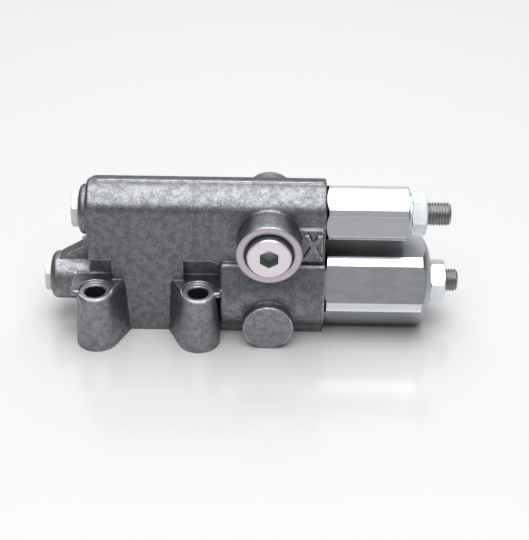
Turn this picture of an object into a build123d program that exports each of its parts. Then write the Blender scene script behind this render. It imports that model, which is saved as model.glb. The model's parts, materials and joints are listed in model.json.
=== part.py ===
from build123d import *

import os
from math import cos, radians, sin, sqrt

# Hydraulic control valve: a cast housing that bolts down on a manifold over three face ports.
# A flow spool lies above a pressure spool. Each is loaded from the right by a spring in a hexagon
# sleeve, which an adjusting screw and a lock nut set, and is closed on the left by a plug.
# Frame, in mm: origin at the centre of the bolt pattern on the mounting face, +X along the spools
# to the adjusters, +Z away from the mounting face, Y = 0 on the casting's parting plane.

# Spool axes above the mounting face
flow_z = 43.4
pressure_z = 16.2

# Casting block
block_left = -20.2
block_right = 60.4
block_half = 10.0
dome_r = 11.5
crease_round = 5.0
corner_cut = 3.4
block_round = 1.3
parting_ridge = 0.3
parting_width = 0.9

# Bosses round the spool bores at the left
flow_boss_left = -22.9
flow_boss_r = 8.6
flow_boss_round = 1.8
pressure_boss_left = -34.2
pressure_boss_r = 8.35
pressure_boss_round = 2.3
pressure_boss_right = -15.4
rib_thickness = 5.0
rib_top_z = 29.6
rib_step_x = -29.5
rib_step_z = 25.6
rib_foot = 2.6
rib_slope = 1.6

# Round housing of the pressure spring at the right
spring_housing_left = 24.8
spring_housing_r = 16.5
spring_housing_round = 0.9
shoulder_z = 29.4
shoulder_lean = 25.0
shoulder_round = 1.5

# Side bosses, round about Y
side_boss_x = 41.4
port_boss_r = 10.9
port_boss_z = 38.7
blind_boss_r = 8.6
side_boss_face = 19.9
pad_left = 46.0
pad_bottom_z = 30.2
pad_top_z = 43.4
pad_raise = 1.0
pad_draft = 20.0

# Mounting lugs and their screw pockets
bolt_spacing_x = 35.0
bolt_spacing_y = 32.0
bolt_hole_r = 3.5
lug_top_z = 21.3
lug_chamfer = 1.0
lug_foot_r = 7.3
lug_draft = 3.0
lug_web_x = 6.6
lug_side_x = 24.6
ear_x = 25.6
ear_y = 17.6
ear_thickness = 1.7
ear_corner = 1.6
spot_face_r = 5.4
spot_face_depth = 0.8
bolt_hole_edge = 0.3
pocket_inner_x = 12.2
pocket_top_z = 29.2
pocket_back_y = 6.2
pocket_corner = 3.8

# Face ports P, A and T
face_port_pitch = 10.0
face_port_r = 2.5
face_recess_r = 4.5
face_recess_depth = 1.3
face_seal_width = 1.3

# Spool bores and the running clearance of what slides in them
spool_r = 4.0
spool_clearance = 0.02
groove_r = 2.9
neck_half = 3.2
balance_left = 20.0
balance_pitch = 4.0
balance_width = 0.8
balance_depth = 0.4
thread_clearance = 0.05
seal_clearance = 0.03
seat_clearance = 0.1

# End plugs
plug_thread_r = 5.0
plug_thread_length = 6.5
plug_nose_length = 4.0
plug_groove_r = 3.1
plug_groove_width = 1.4
plug_edge = 0.35
flow_plug_flats = 12.0
flow_plug_head = 2.4
pressure_plug_flats = 11.0
pressure_plug_head = 2.0

# Flow stage, right of its spool
flow_chamber_left = 38.0
flow_thread_left = 50.0
flow_sleeve_end = 88.3
flow_sleeve_flats = 18.2
flow_sleeve_round_r = 9.95
flow_sleeve_wall = 8.0
flow_sleeve_turn = 1.1
flow_screw_end = 102.7
flow_seat_face = 79.0
flow_nut_turn = 32.7
flow_washer = 0.9

# Pressure stage, right of its spool
pressure_chamber_left = 34.0
pressure_thread_left = 49.0
pressure_sleeve_end = 97.4
pressure_sleeve_flats = 29.3
pressure_sleeve_round_r = 16.0
pressure_sleeve_wall = 6.9
pressure_sleeve_turn = 26.4
pressure_crown_depth = 3.5
pressure_crown_flat_r = 7.0
pressure_screw_end = 107.4
pressure_seat_face = 89.2
pressure_nut_turn = 49.7
pressure_washer = 0.25

# Adjusting hardware that both stages share
screw_r = 4.0
screw_point = 0.8
screw_socket_flats = 4.0
screw_socket_depth = 4.0
nut_flats = 13.0
nut_thickness = 5.3
nut_chamfer = 0.7
washer_r = 6.6
sleeve_chamfer = 0.9
sleeve_end_bevel = 0.6
sleeve_end_drop = 1.1
seal_depth = 1.0
seat_thickness = 5.0
seat_groove = 1.4
seat_rim = 2.2
spool_gap = 0.1

# Springs
flow_wire = 1.2
flow_spring_r = 3.7
flow_spring_turns = 5.5
outer_wire = 1.8
outer_spring_r = 7.9
outer_spring_turns = 5.5
inner_wire = 1.1
inner_spring_r = 5.0
inner_spring_turns = 6.5
spigot_gap = 0.3
spring_gap = 0.8
chamber_gap = 0.6
flow_stub_wall = 1.9
pressure_stub_wall = 2.4
flow_seal_width = 1.1
pressure_seal_width = 1.4

# X port plug and the orifice behind it
port_thread_r = 6.0
port_thread_depth = 9.0
port_thread_gap = 1.0
port_seal_r = 7.1
port_seal_depth = 1.2
port_head_r = 7.5
port_head = 2.3
port_recess_r = 8.3
port_recess_depth = 0.8
port_head_chamfer = 0.5
port_socket_flats = 6.0
port_socket_depth = 4.6
port_drill_r = 2.5
orifice_length = 3.5
orifice_gap = 0.3
orifice_hole_r = 0.5
orifice_slot = 0.8

os.makedirs("parts", exist_ok=True)

flow_plane = Plane(origin=(0, 0, flow_z), x_dir=(1, 0, 0), z_dir=(0, -1, 0))
pressure_plane = Plane(origin=(0, 0, pressure_z), x_dir=(1, 0, 0), z_dir=(0, -1, 0))
port_face_plane = Plane(
    origin=(side_boss_x, -side_boss_face, port_boss_z), x_dir=(1, 0, 0), z_dir=(0, -1, 0)
)
port_seat_plane = port_face_plane.offset(-port_recess_depth)
blind_plane = Plane(
    origin=(side_boss_x, -side_boss_face, blind_boss_r), x_dir=(1, 0, 0), z_dir=(0, -1, 0)
)
flow_sleeve_bore_r = flow_spring_r + flow_wire / 2 + spring_gap
flow_chamber_r = flow_sleeve_bore_r + chamber_gap
flow_thread_r = flow_sleeve_bore_r + flow_stub_wall
flow_seal_r = flow_thread_r + flow_seal_width
pressure_sleeve_bore_r = outer_spring_r + outer_wire / 2 + spring_gap
pressure_chamber_r = pressure_sleeve_bore_r + chamber_gap
pressure_thread_r = pressure_sleeve_bore_r + pressure_stub_wall
pressure_seal_r = pressure_thread_r + pressure_seal_width
hole_x = bolt_spacing_x / 2
hole_y = bolt_spacing_y / 2
dome_top = flow_z + dome_r


def turn(plane, outline, mode=Mode.ADD):
    """Turn a half outline of (x, radius) points about the plane's X axis."""
    with BuildSketch(plane) as profile:
        with BuildLine():
            Polyline(*outline, close=True)
        make_face()
    revolve(profile.sketch, axis=Axis(plane.origin, plane.x_dir), mode=mode)


def cylinder(plane, left, right, radius, mode=Mode.ADD):
    """A round bar or bore about the plane's X axis, from left to right."""
    turn(plane, [(left, 0), (left, radius), (right, radius), (right, 0)], mode)


def hexagon(plane, left, right, flats, angle, mode=Mode.ADD):
    """A hexagon bar about the plane's X axis; angle is the height of one flat's normal."""
    end = Plane(
        origin=plane.from_local_coords((left, 0, 0)), x_dir=(0, -1, 0), z_dir=(1, 0, 0)
    )
    with BuildSketch(end) as section:
        RegularPolygon(flats / 2, 6, major_radius=False, rotation=30 - angle)
    extrude(section.sketch, amount=right - left, mode=mode)


def ring(plane, left, right, inner_r, outer_r):
    """A square-section ring about the plane's X axis."""
    turn(plane, [(left, inner_r), (left, outer_r), (right, outer_r), (right, inner_r)])


def coil(plane, left, right, mean_r, wire, turns):
    """A flat-wire compression spring about the plane's X axis, standing between two seats."""
    height = right - left - wire
    start = plane.from_local_coords((left + wire / 2, mean_r, 0))
    path = Helix(
        pitch=height / turns,
        height=height,
        radius=mean_r,
        center=plane.from_local_coords((left + wire / 2, 0, 0)),
        direction=(1, 0, 0),
        mode=Mode.PRIVATE,
    )
    with BuildSketch(Plane(origin=path @ 0, z_dir=path % 0)) as section:
        Rectangle(wire, wire)
    sweep(section.sketch, path=path, is_frenet=True)


with BuildPart() as lug:
    # Front right mounting lug: a column with draft, webbed back to the block, under a flat ear
    with BuildSketch(Plane.XY):
        with BuildLine():
            CenterArc((hole_x, -hole_y), lug_foot_r, 0, 360)
            Polyline(
                (lug_web_x, -block_half / 2),
                (lug_web_x, -block_half),
                (hole_x, -hole_y),
                (lug_side_x, -hole_y),
                (lug_side_x, -block_half / 2),
            )
        make_hull()
    extrude(amount=lug_top_z, taper=lug_draft)
    rim = lug.faces().sort_by(Axis.Z)[-1].edges().filter_by(lambda e: e.center().Y < -hole_y)
    chamfer(rim, lug_chamfer)
    with BuildSketch(Plane.XY.offset(lug_top_z)) as ear:
        with BuildLine():
            Polyline(
                (hole_x, -pocket_back_y / 2),
                (hole_x, -ear_y),
                (ear_x, -ear_y),
                (ear_x, -pocket_back_y / 2),
                close=True,
            )
        make_face()
        fillet(ear.vertices().sort_by(Axis((0, 0, 0), (1, -1, 0)))[-1], ear_corner)
    extrude(amount=-ear_thickness)

with BuildPart() as spring_housing:
    # Round housing of the pressure spring, with a leaning shoulder on each side
    lean = radians(shoulder_lean)
    foot_y = spring_housing_r * cos(lean)
    foot_z = pressure_z + spring_housing_r * sin(lean)
    shoulder_y = (spring_housing_r - (shoulder_z - pressure_z) * sin(lean)) / cos(lean)
    with BuildSketch(Plane.YZ.offset(spring_housing_left)) as section:
        with Locations((0, pressure_z)):
            Circle(spring_housing_r)
        with BuildLine():
            Polyline(
                (foot_y, pressure_z),
                (foot_y, foot_z),
                (shoulder_y, shoulder_z),
                (-shoulder_y, shoulder_z),
                (-foot_y, foot_z),
                (-foot_y, pressure_z),
                close=True,
            )
        make_face()
        fillet(section.vertices().group_by(Axis.Y)[-1], shoulder_round)
    extrude(amount=block_right - spring_housing_left)
    fillet(spring_housing.faces().sort_by(Axis.X)[0].edges(), spring_housing_round)

with BuildPart() as housing:
    # Block: flat sides that roll over a crease into a round dome above the flow spool
    with BuildSketch(Plane.YZ.offset(block_left)) as block:
        crease_z = flow_z + sqrt(dome_r**2 - block_half**2)
        with BuildLine():
            sides = Polyline(
                (block_half, crease_z), (block_half, 0), (-block_half, 0), (-block_half, crease_z)
            )
            ThreePointArc(sides @ 1, (0, dome_top), sides @ 0)
        make_face()
        fillet(block.vertices().sort_by(Axis.Y)[-2:], crease_round)
    extrude(amount=block_right - block_left)
    left_edges = housing.faces().sort_by(Axis.X)[0].edges().filter_by(lambda e: e.center().Z > 1)
    fillet(left_edges, block_round)
    right_edges = housing.faces().sort_by(Axis.X)[-1].edges().filter_by(lambda e: e.center().Z > 1)
    fillet(right_edges, block_round / 2)
    # Facet across the top rear corner of the left end
    along_top = Vector(corner_cut, dome_r / sqrt(2), dome_r / sqrt(2) - dome_r)
    down_end = Vector(0, block_half, -dome_r)
    facet = Plane((block_left, 0, dome_top), z_dir=down_end.cross(along_top))
    split(bisect_by=facet, keep=Keep.TOP)

    # Boss round the flow bore, and the longer one round the pressure bore with its rib
    boss_root = block_left + 3 * block_round
    cylinder(flow_plane, flow_boss_left, boss_root, flow_boss_r)
    fillet(housing.faces().sort_by(Axis.X)[0].edges(), flow_boss_round)
    cylinder(pressure_plane, pressure_boss_left, boss_root, pressure_boss_r)
    fillet(housing.faces().sort_by(Axis.X)[0].edges(), pressure_boss_round)
    with BuildSketch(Plane.XZ):
        with BuildLine():
            Polyline(
                (boss_root, rib_top_z + rib_foot),
                (block_left - rib_foot, rib_top_z),
                (rib_step_x, rib_step_z),
                (rib_step_x - rib_slope, pressure_z + pressure_boss_r - seat_clearance),
                (rib_step_x, pressure_z),
                (boss_root, pressure_z),
                close=True,
            )
        make_face()
    extrude(amount=rib_thickness / 2, both=True)

    add(spring_housing.part)

    # Side bosses: the X port and a blind boss in front, two blind ones behind
    with BuildSketch(port_face_plane):
        Circle(port_boss_r)
    extrude(amount=-side_boss_face + block_half / 2)
    with BuildSketch(blind_plane):
        Circle(blind_boss_r)
    extrude(amount=-2 * side_boss_face)
    with BuildSketch(Plane.XZ.offset(-side_boss_face)):
        with Locations((side_boss_x, port_boss_z)):
            Circle(blind_boss_r)
    extrude(amount=side_boss_face - block_half / 2)

    # Raised pad that carries the port's letter
    with BuildSketch(Plane.XZ.offset(block_half)):
        with BuildLine():
            Polyline(
                (pad_left, pad_bottom_z),
                (block_right - block_round / 2, pad_bottom_z),
                (block_right - block_round / 2, pad_top_z),
                (pad_left, pad_top_z),
                close=True,
            )
        make_face()
    extrude(amount=pad_raise, taper=pad_draft)

    # Four lugs, mirrored across the middle of the bolt pattern and the parting plane
    left_lug = mirror(lug.part, about=Plane.YZ, mode=Mode.PRIVATE)
    for front_lug in (lug.part, left_lug):
        add(front_lug)
        mirror(front_lug, about=Plane.XZ)

    # Screw pockets over the lugs, with their outer top corner rounded
    for side_x in (-1, 1):
        for side_y in (-1, 1):
            with BuildSketch(Plane.XZ.offset(-side_y * pocket_back_y)) as pocket:
                with BuildLine():
                    Polyline(
                        (side_x * pocket_inner_x, lug_top_z),
                        (side_x * pocket_inner_x, pocket_top_z),
                        (side_x * spring_housing_left, pocket_top_z),
                        (side_x * spring_housing_left, lug_top_z),
                        close=True,
                    )
                make_face()
                top = pocket.vertices().group_by(Axis.Y)[-1]
                fillet(top.sort_by(Axis((0, 0, 0), (side_x, 0, 0)))[-1], pocket_corner)
                fillet(top.sort_by(Axis((0, 0, 0), (side_x, 0, 0)))[0], block_round)
            extrude(amount=-side_y * (spring_housing_r + block_half), mode=Mode.SUBTRACT)

    # The pressure boss runs on between the left pockets
    cylinder(pressure_plane, block_left, pressure_boss_right, pressure_boss_r)

    # Screw holes with their spot faces
    with BuildSketch(Plane.XY):
        with GridLocations(bolt_spacing_x, bolt_spacing_y, 2, 2):
            Circle(bolt_hole_r)
    extrude(amount=pocket_top_z - block_round, mode=Mode.SUBTRACT)
    with BuildSketch(Plane.XY.offset(lug_top_z)):
        with GridLocations(bolt_spacing_x, bolt_spacing_y, 2, 2):
            Circle(spot_face_r)
    extrude(amount=-spot_face_depth, mode=Mode.SUBTRACT)
    spot_z = lug_top_z - spot_face_depth
    hole_rims = (
        housing.edges()
        .filter_by(GeomType.CIRCLE)
        .filter_by(lambda e: abs(e.radius - bolt_hole_r) < bolt_hole_edge)
        .filter_by(lambda e: abs(e.center().Z - spot_z) < bolt_hole_edge)
    )
    chamfer(hole_rims, bolt_hole_edge)

    # Machined mounting face
    split(bisect_by=Plane.XY, keep=Keep.TOP)

    # Parting line left by the mould along the top
    with BuildSketch(Plane.XY.offset(flow_z)):
        with BuildLine():
            Polyline(
                (block_left + corner_cut, -parting_width / 2),
                (block_left + corner_cut, parting_width / 2),
                (block_right - block_round, parting_width / 2),
                (block_right - block_round, -parting_width / 2),
                close=True,
            )
        make_face()
    extrude(amount=dome_r + parting_ridge)

    # Flow bore: plug thread, spool bore, spring chamber, sleeve thread and its seal seat
    flow_plug_seat = flow_boss_left + plug_thread_length
    cylinder(flow_plane, flow_boss_left, flow_plug_seat, plug_thread_r, Mode.SUBTRACT)
    cylinder(flow_plane, flow_boss_left, flow_thread_left, spool_r, Mode.SUBTRACT)
    cylinder(flow_plane, flow_chamber_left, flow_thread_left, flow_chamber_r, Mode.SUBTRACT)
    cylinder(flow_plane, flow_thread_left, block_right, flow_thread_r, Mode.SUBTRACT)
    cylinder(flow_plane, block_right - seal_depth, block_right, flow_seal_r, Mode.SUBTRACT)

    # Pressure bore, laid out the same way
    pressure_plug_seat = pressure_boss_left + plug_thread_length
    cylinder(pressure_plane, pressure_boss_left, pressure_plug_seat, plug_thread_r, Mode.SUBTRACT)
    cylinder(pressure_plane, pressure_boss_left, pressure_thread_left, spool_r, Mode.SUBTRACT)
    cylinder(
        pressure_plane,
        pressure_chamber_left,
        pressure_thread_left,
        pressure_chamber_r,
        Mode.SUBTRACT,
    )
    cylinder(pressure_plane, pressure_thread_left, block_right, pressure_thread_r, Mode.SUBTRACT)
    cylinder(pressure_plane, block_right - seal_depth, block_right, pressure_seal_r, Mode.SUBTRACT)

    # X port: recess round the head, seal seat, thread, and the drilling to the flow spring's chamber
    with BuildSketch(port_face_plane):
        Circle(port_recess_r)
    extrude(amount=-port_recess_depth, mode=Mode.SUBTRACT)
    with BuildSketch(port_seat_plane):
        Circle(port_seal_r)
    extrude(amount=-port_seal_depth, mode=Mode.SUBTRACT)
    with BuildSketch(port_face_plane):
        Circle(port_thread_r)
    extrude(amount=-port_thread_depth, mode=Mode.SUBTRACT)
    with BuildSketch(port_face_plane):
        Circle(port_drill_r)
    extrude(amount=-side_boss_face, mode=Mode.SUBTRACT)

    # Face ports up to the flow bore, each in the recess of its seal ring
    with BuildSketch(Plane.XY):
        with GridLocations(face_port_pitch, 0, 3, 1):
            Circle(face_port_r)
    extrude(amount=flow_z, mode=Mode.SUBTRACT)
    with BuildSketch(Plane.XY):
        with GridLocations(face_port_pitch, 0, 3, 1):
            Circle(face_recess_r)
    extrude(amount=face_recess_depth, mode=Mode.SUBTRACT)
housing.part.label = "housing"
export_step(housing.part, "parts/housing.step")

with BuildPart() as x_port_plug:
    # Round head with a hexagon socket, over a threaded shank
    with BuildSketch(port_seat_plane):
        Circle(port_head_r)
    extrude(amount=port_recess_depth + port_head)
    chamfer(x_port_plug.edges().sort_by(Axis.Y)[0], port_head_chamfer)
    with BuildSketch(port_face_plane):
        Circle(port_thread_r - thread_clearance)
    extrude(amount=-(port_thread_depth - port_thread_gap))
    with BuildSketch(port_face_plane.offset(port_head)):
        RegularPolygon(port_socket_flats / 2, 6, major_radius=False, rotation=30)
    extrude(amount=-port_socket_depth, mode=Mode.SUBTRACT)
x_port_plug.part.label = "x_port_plug"
export_step(x_port_plug.part, "parts/x_port_plug.step")

with BuildPart() as x_port_seal:
    with BuildSketch(port_seat_plane):
        Circle(port_seal_r - seal_clearance)
        Circle(port_thread_r, mode=Mode.SUBTRACT)
    extrude(amount=-(port_seal_depth - seal_clearance))
x_port_seal.part.label = "x_port_seal"
export_step(x_port_seal.part, "parts/x_port_seal.step")

with BuildPart() as pilot_orifice:
    # Slotted brass restrictor at the bottom of the X port's thread
    orifice_face = port_face_plane.offset(-port_thread_depth - orifice_gap)
    with BuildSketch(orifice_face):
        Circle(port_drill_r - thread_clearance)
        Circle(orifice_hole_r, mode=Mode.SUBTRACT)
    extrude(amount=-orifice_length)
    with BuildSketch(orifice_face):
        Rectangle(port_drill_r * 2, orifice_slot)
    extrude(amount=-orifice_slot, mode=Mode.SUBTRACT)
pilot_orifice.part.label = "pilot_orifice"
export_step(pilot_orifice.part, "parts/pilot_orifice.step")

with BuildPart() as face_seal_rings:
    # One ring in each face port's recess, flush with the mounting face
    with BuildSketch(Plane.XY):
        with GridLocations(face_port_pitch, 0, 3, 1):
            Circle(face_recess_r - seal_clearance)
            Circle(face_recess_r - face_seal_width, mode=Mode.SUBTRACT)
    extrude(amount=face_recess_depth - seal_clearance)
face_seal_rings.part.label = "face_seal_rings"
export_step(face_seal_rings.part, "parts/face_seal_rings.step")


def end_plug(plane, boss_left, head, flats, angle):
    """Hexagon head, thread, and a nose with a seal groove that closes the spool bore."""
    seat = boss_left + plug_thread_length
    nose = seat + plug_nose_length
    groove = seat + (plug_nose_length - plug_groove_width) / 2
    hexagon(plane, boss_left - head, boss_left, flats, angle)
    turn(
        plane,
        [
            (boss_left - head, 0),
            (boss_left - head, flats / 2),
            (boss_left - head + plug_edge, flats / 2 + 2 * plug_edge),
            (boss_left, flats),
            (boss_left, 0),
        ],
        Mode.INTERSECT,
    )
    turn(
        plane,
        [
            (boss_left, 0),
            (boss_left, plug_thread_r - thread_clearance),
            (seat - plug_edge, plug_thread_r - thread_clearance),
            (seat - plug_edge, spool_r - thread_clearance),
            (groove, spool_r - thread_clearance),
            (groove, plug_groove_r),
            (groove + plug_groove_width, plug_groove_r),
            (groove + plug_groove_width, spool_r - thread_clearance),
            (nose, spool_r - thread_clearance),
            (nose, 0),
        ],
    )


def end_plug_seal(plane, boss_left):
    """The ring in an end plug's groove."""
    middle = boss_left + plug_thread_length + plug_nose_length / 2
    half = plug_groove_width / 2 - seal_clearance
    ring(plane, middle - half, middle + half, plug_groove_r, spool_r - seal_clearance)


with BuildPart() as flow_end_plug:
    end_plug(flow_plane, flow_boss_left, flow_plug_head, flow_plug_flats, 0)
flow_end_plug.part.label = "flow_end_plug"
export_step(flow_end_plug.part, "parts/flow_end_plug.step")

with BuildPart() as pressure_end_plug:
    end_plug(pressure_plane, pressure_boss_left, pressure_plug_head, pressure_plug_flats, 5)
pressure_end_plug.part.label = "pressure_end_plug"
export_step(pressure_end_plug.part, "parts/pressure_end_plug.step")

with BuildPart() as flow_plug_seal:
    end_plug_seal(flow_plane, flow_boss_left)
flow_plug_seal.part.label = "flow_plug_seal"
export_step(flow_plug_seal.part, "parts/flow_plug_seal.step")

with BuildPart() as pressure_plug_seal:
    end_plug_seal(pressure_plane, pressure_boss_left)
pressure_plug_seal.part.label = "pressure_plug_seal"
export_step(pressure_plug_seal.part, "parts/pressure_plug_seal.step")


def spool(plane, left, right, balance_x):
    """A bar that slides in its bore, necked at each face port, with two balancing grooves."""
    land_r = spool_r - spool_clearance
    cylinder(plane, left, right, land_r)
    necks = [
        (port * face_port_pitch - neck_half, port * face_port_pitch + neck_half)
        for port in (-1, 0, 1)
    ]
    balances = [
        (balance_x + step * balance_pitch, balance_x + step * balance_pitch + balance_width)
        for step in (0, 1)
    ]
    for start, end in necks + balances:
        depth_r = groove_r if (start, end) in necks else land_r - balance_depth
        outline = [(start, depth_r), (start, spool_r), (end, spool_r), (end, depth_r)]
        turn(plane, outline, Mode.SUBTRACT)


flow_spool_left = flow_boss_left + plug_thread_length + plug_nose_length + spool_gap
flow_spool_right = flow_chamber_left + spool_gap
pressure_spool_left = pressure_boss_left + plug_thread_length + plug_nose_length + spool_gap
pressure_spool_right = pressure_chamber_left + spool_gap

with BuildPart() as flow_spool:
    spool(flow_plane, flow_spool_left, flow_spool_right, balance_left)
flow_spool.part.label = "flow_spool"
export_step(flow_spool.part, "parts/flow_spool.step")

with BuildPart() as pressure_spool:
    spool(pressure_plane, pressure_spool_left, pressure_spool_right, balance_left)
pressure_spool.part.label = "pressure_spool"
export_step(pressure_spool.part, "parts/pressure_spool.step")

with BuildPart() as flow_sleeve:
    # Hexagon bar with turned corners, a threaded stub and the spring's bore
    hexagon(flow_plane, block_right, flow_sleeve_end, flow_sleeve_flats, flow_sleeve_turn)
    turn(
        flow_plane,
        [
            (block_right, 0),
            (block_right, flow_sleeve_round_r - sleeve_chamfer),
            (block_right + sleeve_chamfer, flow_sleeve_round_r),
            (flow_sleeve_end - sleeve_end_bevel, flow_sleeve_round_r),
            (flow_sleeve_end, flow_sleeve_round_r - sleeve_end_drop),
            (flow_sleeve_end, 0),
        ],
        Mode.INTERSECT,
    )
    flow_stub_r = flow_thread_r - thread_clearance
    cylinder(flow_plane, flow_thread_left + seat_clearance, block_right, flow_stub_r)
    flow_bore_end = flow_sleeve_end - flow_sleeve_wall
    cylinder(
        flow_plane,
        flow_thread_left + seat_clearance,
        flow_bore_end,
        flow_sleeve_bore_r,
        Mode.SUBTRACT,
    )
    cylinder(
        flow_plane, flow_bore_end, flow_sleeve_end, screw_r + thread_clearance, Mode.SUBTRACT
    )
flow_sleeve.part.label = "flow_sleeve"
export_step(flow_sleeve.part, "parts/flow_sleeve.step")

with BuildPart() as pressure_sleeve:
    # The larger sleeve, whose outer end is crowned round the lock nut
    crown_left = pressure_sleeve_end - pressure_crown_depth
    hexagon(
        pressure_plane,
        block_right,
        pressure_sleeve_end,
        pressure_sleeve_flats,
        pressure_sleeve_turn,
    )
    with BuildSketch(pressure_plane) as crown:
        with BuildLine():
            rim = Polyline(
                (pressure_sleeve_end, pressure_crown_flat_r),
                (pressure_sleeve_end, 0),
                (block_right, 0),
                (block_right, pressure_sleeve_round_r - sleeve_chamfer),
                (block_right + sleeve_chamfer, pressure_sleeve_round_r),
                (crown_left, pressure_sleeve_round_r),
            )
            ThreePointArc(
                rim @ 1,
                (
                    crown_left + pressure_crown_depth * 0.66,
                    pressure_sleeve_round_r
                    - (pressure_sleeve_round_r - pressure_crown_flat_r) * 0.34,
                ),
                rim @ 0,
            )
        make_face()
    revolve(
        crown.sketch,
        axis=Axis(pressure_plane.origin, pressure_plane.x_dir),
        mode=Mode.INTERSECT,
    )
    pressure_stub_r = pressure_thread_r - thread_clearance
    cylinder(
        pressure_plane, pressure_thread_left + seat_clearance, block_right, pressure_stub_r
    )
    pressure_bore_end = pressure_sleeve_end - pressure_sleeve_wall
    cylinder(
        pressure_plane,
        pressure_thread_left + seat_clearance,
        pressure_bore_end,
        pressure_sleeve_bore_r,
        Mode.SUBTRACT,
    )
    cylinder(
        pressure_plane,
        pressure_bore_end,
        pressure_sleeve_end,
        screw_r + thread_clearance,
        Mode.SUBTRACT,
    )
pressure_sleeve.part.label = "pressure_sleeve"
export_step(pressure_sleeve.part, "parts/pressure_sleeve.step")

with BuildPart() as flow_sleeve_seal:
    ring(
        flow_plane,
        block_right - seal_depth + seal_clearance,
        block_right,
        flow_thread_r,
        flow_seal_r - seal_clearance,
    )
flow_sleeve_seal.part.label = "flow_sleeve_seal"
export_step(flow_sleeve_seal.part, "parts/flow_sleeve_seal.step")

with BuildPart() as pressure_sleeve_seal:
    ring(
        pressure_plane,
        block_right - seal_depth + seal_clearance,
        block_right,
        pressure_thread_r,
        pressure_seal_r - seal_clearance,
    )
pressure_sleeve_seal.part.label = "pressure_sleeve_seal"
export_step(pressure_sleeve_seal.part, "parts/pressure_sleeve_seal.step")


def adjusting_screw(plane, seat_face, end):
    """A fully threaded screw with a hexagon socket in its outer end."""
    turn(
        plane,
        [
            (seat_face, 0),
            (seat_face, screw_r - screw_point),
            (seat_face + screw_point, screw_r),
            (end - screw_point, screw_r),
            (end, screw_r - screw_point),
            (end, 0),
        ],
    )
    hexagon(plane, end - screw_socket_depth, end, screw_socket_flats, 0, Mode.SUBTRACT)


def lock_nut(plane, left, angle):
    """A hexagon nut with both ends chamfered, running on the adjusting screw."""
    corner_r = nut_flats / 2 / sqrt(0.75)
    right = left + nut_thickness
    hexagon(plane, left, right, nut_flats, angle)
    turn(
        plane,
        [
            (left, 0),
            (left, corner_r - nut_chamfer),
            (left + nut_chamfer / 2, corner_r),
            (right - nut_chamfer, corner_r),
            (right, corner_r - 2 * nut_chamfer),
            (right, 0),
        ],
        Mode.INTERSECT,
    )
    cylinder(plane, left, right, screw_r + thread_clearance, Mode.SUBTRACT)


def spring_seat(plane, face, bore_r, spigot_r):
    """A piston in the sleeve's bore: the screw bears on its face, the spring on its front."""
    rim_r = bore_r - seat_clearance
    front = face - seat_thickness
    groove = front + (seat_thickness - seat_groove) / 2
    turn(
        plane,
        [
            (front - seat_rim, 0),
            (front - seat_rim, spigot_r),
            (front, spigot_r),
            (front, rim_r),
            (groove, rim_r),
            (groove, rim_r - seat_groove),
            (groove + seat_groove, rim_r - seat_groove),
            (groove + seat_groove, rim_r),
            (face, rim_r),
            (face, 0),
        ],
    )


def seat_seal(plane, face, bore_r):
    """The ring in a spring seat's groove."""
    middle = face - seat_thickness / 2
    half = seat_groove / 2 - seal_clearance
    ring(
        plane,
        middle - half,
        middle + half,
        bore_r - seat_clearance - seat_groove,
        bore_r - seal_clearance,
    )


def spool_seat(plane, spool_end, flange_r, spigot_r):
    """The seat that carries the spring's load into the spool's end."""
    turn(
        plane,
        [
            (spool_end, 0),
            (spool_end, flange_r),
            (spool_end + seat_rim, flange_r),
            (spool_end + seat_rim, spigot_r),
            (spool_end + 2 * seat_rim, spigot_r),
            (spool_end + 2 * seat_rim, 0),
        ],
    )


flow_spigot_r = flow_spring_r - flow_wire / 2 - spigot_gap
outer_spigot_r = outer_spring_r - outer_wire / 2 - spigot_gap
inner_spigot_r = inner_spring_r - inner_wire / 2 - spigot_gap
flow_spring_left = flow_spool_right + seat_rim
flow_spring_right = flow_seat_face - seat_thickness
pressure_spring_left = pressure_spool_right + seat_rim
pressure_spring_right = pressure_seat_face - seat_thickness

with BuildPart() as flow_adjusting_screw:
    adjusting_screw(flow_plane, flow_seat_face, flow_screw_end)
flow_adjusting_screw.part.label = "flow_adjusting_screw"
export_step(flow_adjusting_screw.part, "parts/flow_adjusting_screw.step")

with BuildPart() as pressure_adjusting_screw:
    adjusting_screw(pressure_plane, pressure_seat_face, pressure_screw_end)
pressure_adjusting_screw.part.label = "pressure_adjusting_screw"
export_step(pressure_adjusting_screw.part, "parts/pressure_adjusting_screw.step")

with BuildPart() as flow_lock_nut:
    lock_nut(flow_plane, flow_sleeve_end + flow_washer, flow_nut_turn)
flow_lock_nut.part.label = "flow_lock_nut"
export_step(flow_lock_nut.part, "parts/flow_lock_nut.step")

with BuildPart() as pressure_lock_nut:
    lock_nut(pressure_plane, pressure_sleeve_end + pressure_washer, pressure_nut_turn)
pressure_lock_nut.part.label = "pressure_lock_nut"
export_step(pressure_lock_nut.part, "parts/pressure_lock_nut.step")

with BuildPart() as flow_nut_washer:
    ring(
        flow_plane,
        flow_sleeve_end,
        flow_sleeve_end + flow_washer,
        screw_r + seat_clearance,
        washer_r,
    )
flow_nut_washer.part.label = "flow_nut_washer"
export_step(flow_nut_washer.part, "parts/flow_nut_washer.step")

with BuildPart() as pressure_nut_washer:
    ring(
        pressure_plane,
        pressure_sleeve_end,
        pressure_sleeve_end + pressure_washer,
        screw_r + seat_clearance,
        washer_r,
    )
pressure_nut_washer.part.label = "pressure_nut_washer"
export_step(pressure_nut_washer.part, "parts/pressure_nut_washer.step")

with BuildPart() as flow_spring_seat:
    spring_seat(flow_plane, flow_seat_face, flow_sleeve_bore_r, flow_spigot_r)
flow_spring_seat.part.label = "flow_spring_seat"
export_step(flow_spring_seat.part, "parts/flow_spring_seat.step")

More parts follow.
